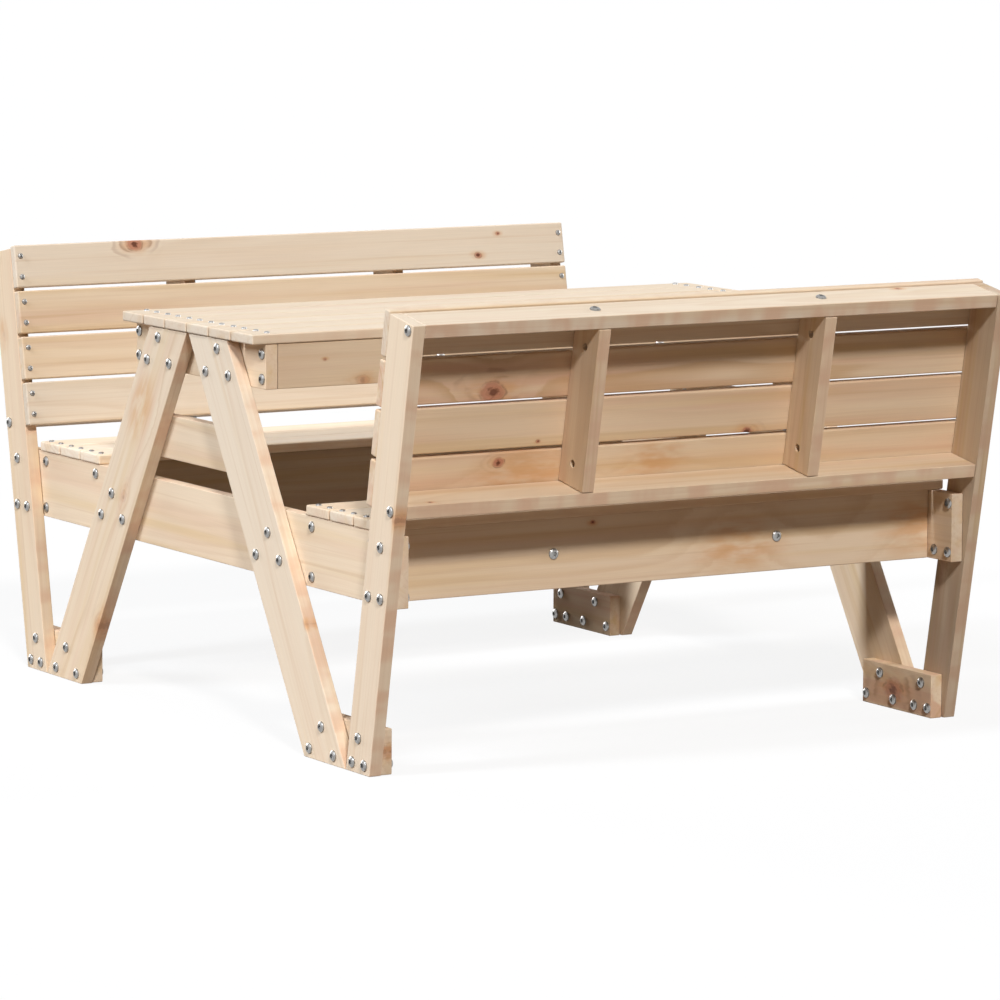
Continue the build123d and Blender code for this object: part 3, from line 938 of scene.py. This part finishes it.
# Seat and axis of each fastener of a CAD node: the axis is the direction of most spread for a long one and
# of least spread for a flat one, and it points out of the wood. A long one points to its head. A flat one
# points up, or on a level axis to the middle of the object.
def fastenerSeats(node, long, height):
    seats = []
    for points in nodeSolids(node):
        middle = (points.min(0) + points.max(0)) / 2
        spread = np.linalg.svd(points - points.mean(0))[2]
        axis = spread[0] if long else spread[2]
        reach = (points - middle) @ axis
        if long:
            away = np.linalg.norm(points - middle - np.outer(reach, axis), axis=1)
            axis = axis if reach[away > headLooks["shank"]].mean() > 0 else -axis
        elif abs(axis[2]) > headLooks["level"]:
            axis = axis * np.sign(axis[2])
        else:
            axis = axis * -np.sign(middle[0] * axis[0])
        reach = (points - points.mean(0)) @ axis
        top = points[reach > reach.max() - height / 2].mean(0)
        seats.append((top - axis * height, axis))
    return seats


# Copies of a head on all its seats, each turned about its axis by an angle of its own
def placeHeads(node, head, seats):
    spots, quads, caps = head
    seat = np.array([s for s, _ in seats])
    axis = np.array([a for _, a in seats])
    draws = np.random.default_rng(headLooks["seed"]).random(len(seats)) * 2 * math.pi
    helper = np.where(np.abs(axis[:, [2]]) > headLooks["upright"], [[1.0, 0, 0]], [[0, 0, 1.0]])
    first = np.cross(helper, axis)
    first /= np.linalg.norm(first, axis=1, keepdims=True)
    second = np.cross(axis, first)
    turned = np.cos(draws)[:, None] * first + np.sin(draws)[:, None] * second
    frames = np.stack([turned, np.cross(axis, turned), axis], 1)
    placed = seat[:, None] + np.einsum("pk,nkx->npx", spots, frames)
    faces = copiedFaces(quads, len(seats), len(spots))
    faces += copiedFaces(caps, len(seats), len(spots))
    piece = meshPiece(node + "-heads", placed.reshape(-1, 3), faces, zinc)
    piece.data.set_sharp_from_angle(angle=math.radians(headLooks["sharpAngle"]))
    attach(piece, "root")
    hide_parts(node)


# Barrel nuts: rods at the bottom of the studs' holes, each with a raised face cut by a screwdriver slot.
# A ring is a place along the rod, from the end of its CAD solid, and shares of the radius on Y and Z.
def makeBarrels():
    radius = barrelLooks["radius"]
    turn = circle(barrelLooks["around"])
    rim = barrelLooks["recess"]
    face = rim - barrelLooks["bulge"]
    share = barrelLooks["bulgeShare"]
    slot = barrelLooks["slot"]
    rings = np.array([[2 * barrelHalf, 1, 1], [rim, 1, 1], [face, share, share], [face, *slot],
                      [rim + barrelLooks["slotDepth"], *slot]])
    outline = np.column_stack([np.ones_like(turn), radius * np.cos(turn), radius * np.sin(turn)])
    spots = (rings[:, None] * outline).reshape(-1, 3) - [barrelHalf, 0, 0]
    placed = barrels[:, None] + spots
    ids = np.arange(len(spots)).reshape(len(rings), -1)
    caps = np.stack([ids[0, ::-1], ids[-1]])
    faces = copiedFaces(gridQuads(ids), len(barrels), len(spots))
    faces += copiedFaces(caps, len(barrels), len(spots))
    piece = meshPiece("barrel_nuts-slotted", placed.reshape(-1, 3), faces, zinc)
    outward(piece)
    piece.data.set_sharp_from_angle(angle=math.radians(headLooks["sharpAngle"]))
    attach(piece, "root")
    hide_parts("barrel_nuts")


placeHeads("leg_bolts", domedHead(**bolt), fastenerSeats("leg_bolts", True, bolt["height"]))
placeHeads("frame_bolts", domedHead(**bolt), fastenerSeats("frame_bolts", True, bolt["height"]))
placeHeads("cap_nuts", domedHead(**bolt), fastenerSeats("cap_nuts", False, bolt["height"]))
placeHeads("board_screws", crossHead(**screw), fastenerSeats("board_screws", False, screw["height"]))
makeBarrels()
print("fasteners made")

stageLooks = {
    "reach": 60.0,                      # half the floor's width
    "seen": (0.86, 0.86, 0.86, 1),
    "bounce": (0.24, 0.185, 0.15, 1),
    "glow": 0.88,                       # share of plain white where the floor is looked at
    "roughness": 0.9,
    "sky": (1, 1, 1, 1),
    "ambient": 0.02,                    # strength of the sky's own light
}


# Share of the rays that look straight or by reflection: the camera's, the glossy and the transmitted ones
def lookingRays(tree):
    seen = tree.nodes.new("ShaderNodeLightPath").outputs
    looked = num(tree, "MAXIMUM", seen["Is Camera Ray"], seen["Is Glossy Ray"])
    return num(tree, "MAXIMUM", looked, seen["Is Transmission Ray"])


# Floor: mostly plain white where it is looked at, with a soft shadow left on it, and dull for bounced light
def makeFloor():
    spots = np.array([[-1, -1, 0], [1, -1, 0], [1, 1, 0], [-1, 1, 0]], float) * stageLooks["reach"]
    material = bpy.data.materials.new("paleFloor")
    material.use_nodes = True
    tree = material.node_tree
    shader = tree.nodes["Principled BSDF"]
    looked = lookingRays(tree)
    feed(tree, shader.inputs["Base Color"], mix(tree, looked, stageLooks["bounce"], stageLooks["seen"]))
    shader.inputs["Roughness"].default_value = stageLooks["roughness"]
    shader.inputs["Specular IOR Level"].default_value = 0.0
    glow = tree.nodes.new("ShaderNodeEmission")
    blend = tree.nodes.new("ShaderNodeMixShader")
    feed(tree, blend.inputs[0], num(tree, "MULTIPLY", looked, stageLooks["glow"]))
    tree.links.new(shader.outputs[0], blend.inputs[1])
    tree.links.new(glow.outputs[0], blend.inputs[2])
    tree.links.new(blend.outputs[0], tree.nodes["Material Output"].inputs[0])
    floor = meshPiece("floor", spots, [[0, 1, 2, 3]], material)


# Sky: white where it is looked at, and a faint light elsewhere
def makeSky():
    world = bpy.data.worlds.new("studio")
    world.use_nodes = True
    tree = world.node_tree
    sky = tree.nodes["Background"]
    sky.inputs["Color"].default_value = stageLooks["sky"]
    ambient = stageLooks["ambient"]
    feed(tree, sky.inputs["Strength"], num(tree, "MULTIPLY_ADD", lookingRays(tree), 1 - ambient, ambient))
    scene.world = world


# Axes of something that looks at the object from a turn and a height, as columns: right, up and backwards
def lookAxes(turn, height):
    level = math.cos(height)
    back = np.array([math.sin(turn) * level, -math.cos(turn) * level, math.sin(height)])
    right = np.array([math.cos(turn), math.sin(turn), 0])
    return np.column_stack([right, np.cross(back, right), back])


# Puts a lamp or the camera at its place, with its axes as the columns of its matrix
def putInScene(piece, axes, place):
    matrix = np.eye(4)
    matrix[:3, :3] = axes
    matrix[:3, 3] = place
    piece.matrix_world = Matrix(matrix.tolist())
    scene.collection.objects.link(piece)


# Studio lamps: the turn and the height give a direction and the angle how wide a lamp looks, all in degrees.
# A tall lamp is a column of round ones, one above the other.
lamps = {
    "key": {"turn": -20, "height": 39.5, "angle": 7, "column": 1,
            "strength": 2.42, "colour": (1.0, 0.96, 0.93)},
    "left": {"turn": -90, "height": 39, "angle": 6, "column": 5,
             "strength": 2.54, "colour": (1.0, 1.06, 1.14)},
    "right": {"turn": 80, "height": 13, "angle": 20, "column": 1,
              "strength": 1.15, "colour": (1.0, 0.99, 0.98)},
    "back": {"turn": 190, "height": 13, "angle": 20, "column": 1,
             "strength": 1.15, "colour": (1.0, 0.99, 0.98)},
}
lampDistance = 3.0                      # from the object, in metres


# Each round lamp of a column has an equal share of the strength, and stands its own angle above the last
def makeLamp(name, looks):
    for number in range(looks["column"]):
        light = bpy.data.lights.new(f"{name}-{number}", "SUN")
        light.angle = math.radians(looks["angle"])
        light.energy = looks["strength"] / looks["column"]
        light.color = looks["colour"]
        height = looks["height"] + (number - (looks["column"] - 1) / 2) * looks["angle"]
        axes = lookAxes(math.radians(looks["turn"]), math.radians(height))
        putInScene(bpy.data.objects.new(light.name, light), axes, lampDistance * axes[:, 2])


view = {
    "turn": -31.079,                    # in degrees, as are the height and the roll
    "height": 7.542,
    "roll": 0.312,
    "place": (-3.6049, -6.0322, 1.1922),
    "lens": 189.2,                      # in millimetres, as is the sensor
    "sensor": 36,
    "farthest": 200,                    # in metres
}


# Camera: its axes are those of its turn and height, rolled about the line of sight
def makeCamera():
    turn, height, roll = (math.radians(view[name]) for name in ("turn", "height", "roll"))
    right, up, back = lookAxes(turn, height).T
    across = math.cos(roll) * right + math.sin(roll) * up
    data = bpy.data.cameras.new("camera")
    data.sensor_width = view["sensor"]
    data.lens = view["lens"]
    data.clip_end = view["farthest"]
    camera = bpy.data.objects.new("camera", data)
    putInScene(camera, np.column_stack([across, np.cross(back, across), back]), view["place"])
    scene.camera = camera


makeFloor()
makeSky()
for name, looks in lamps.items():
    makeLamp(name, looks)
makeCamera()
scene.view_settings.view_transform = "Standard"
print("stage, lamps and camera set")
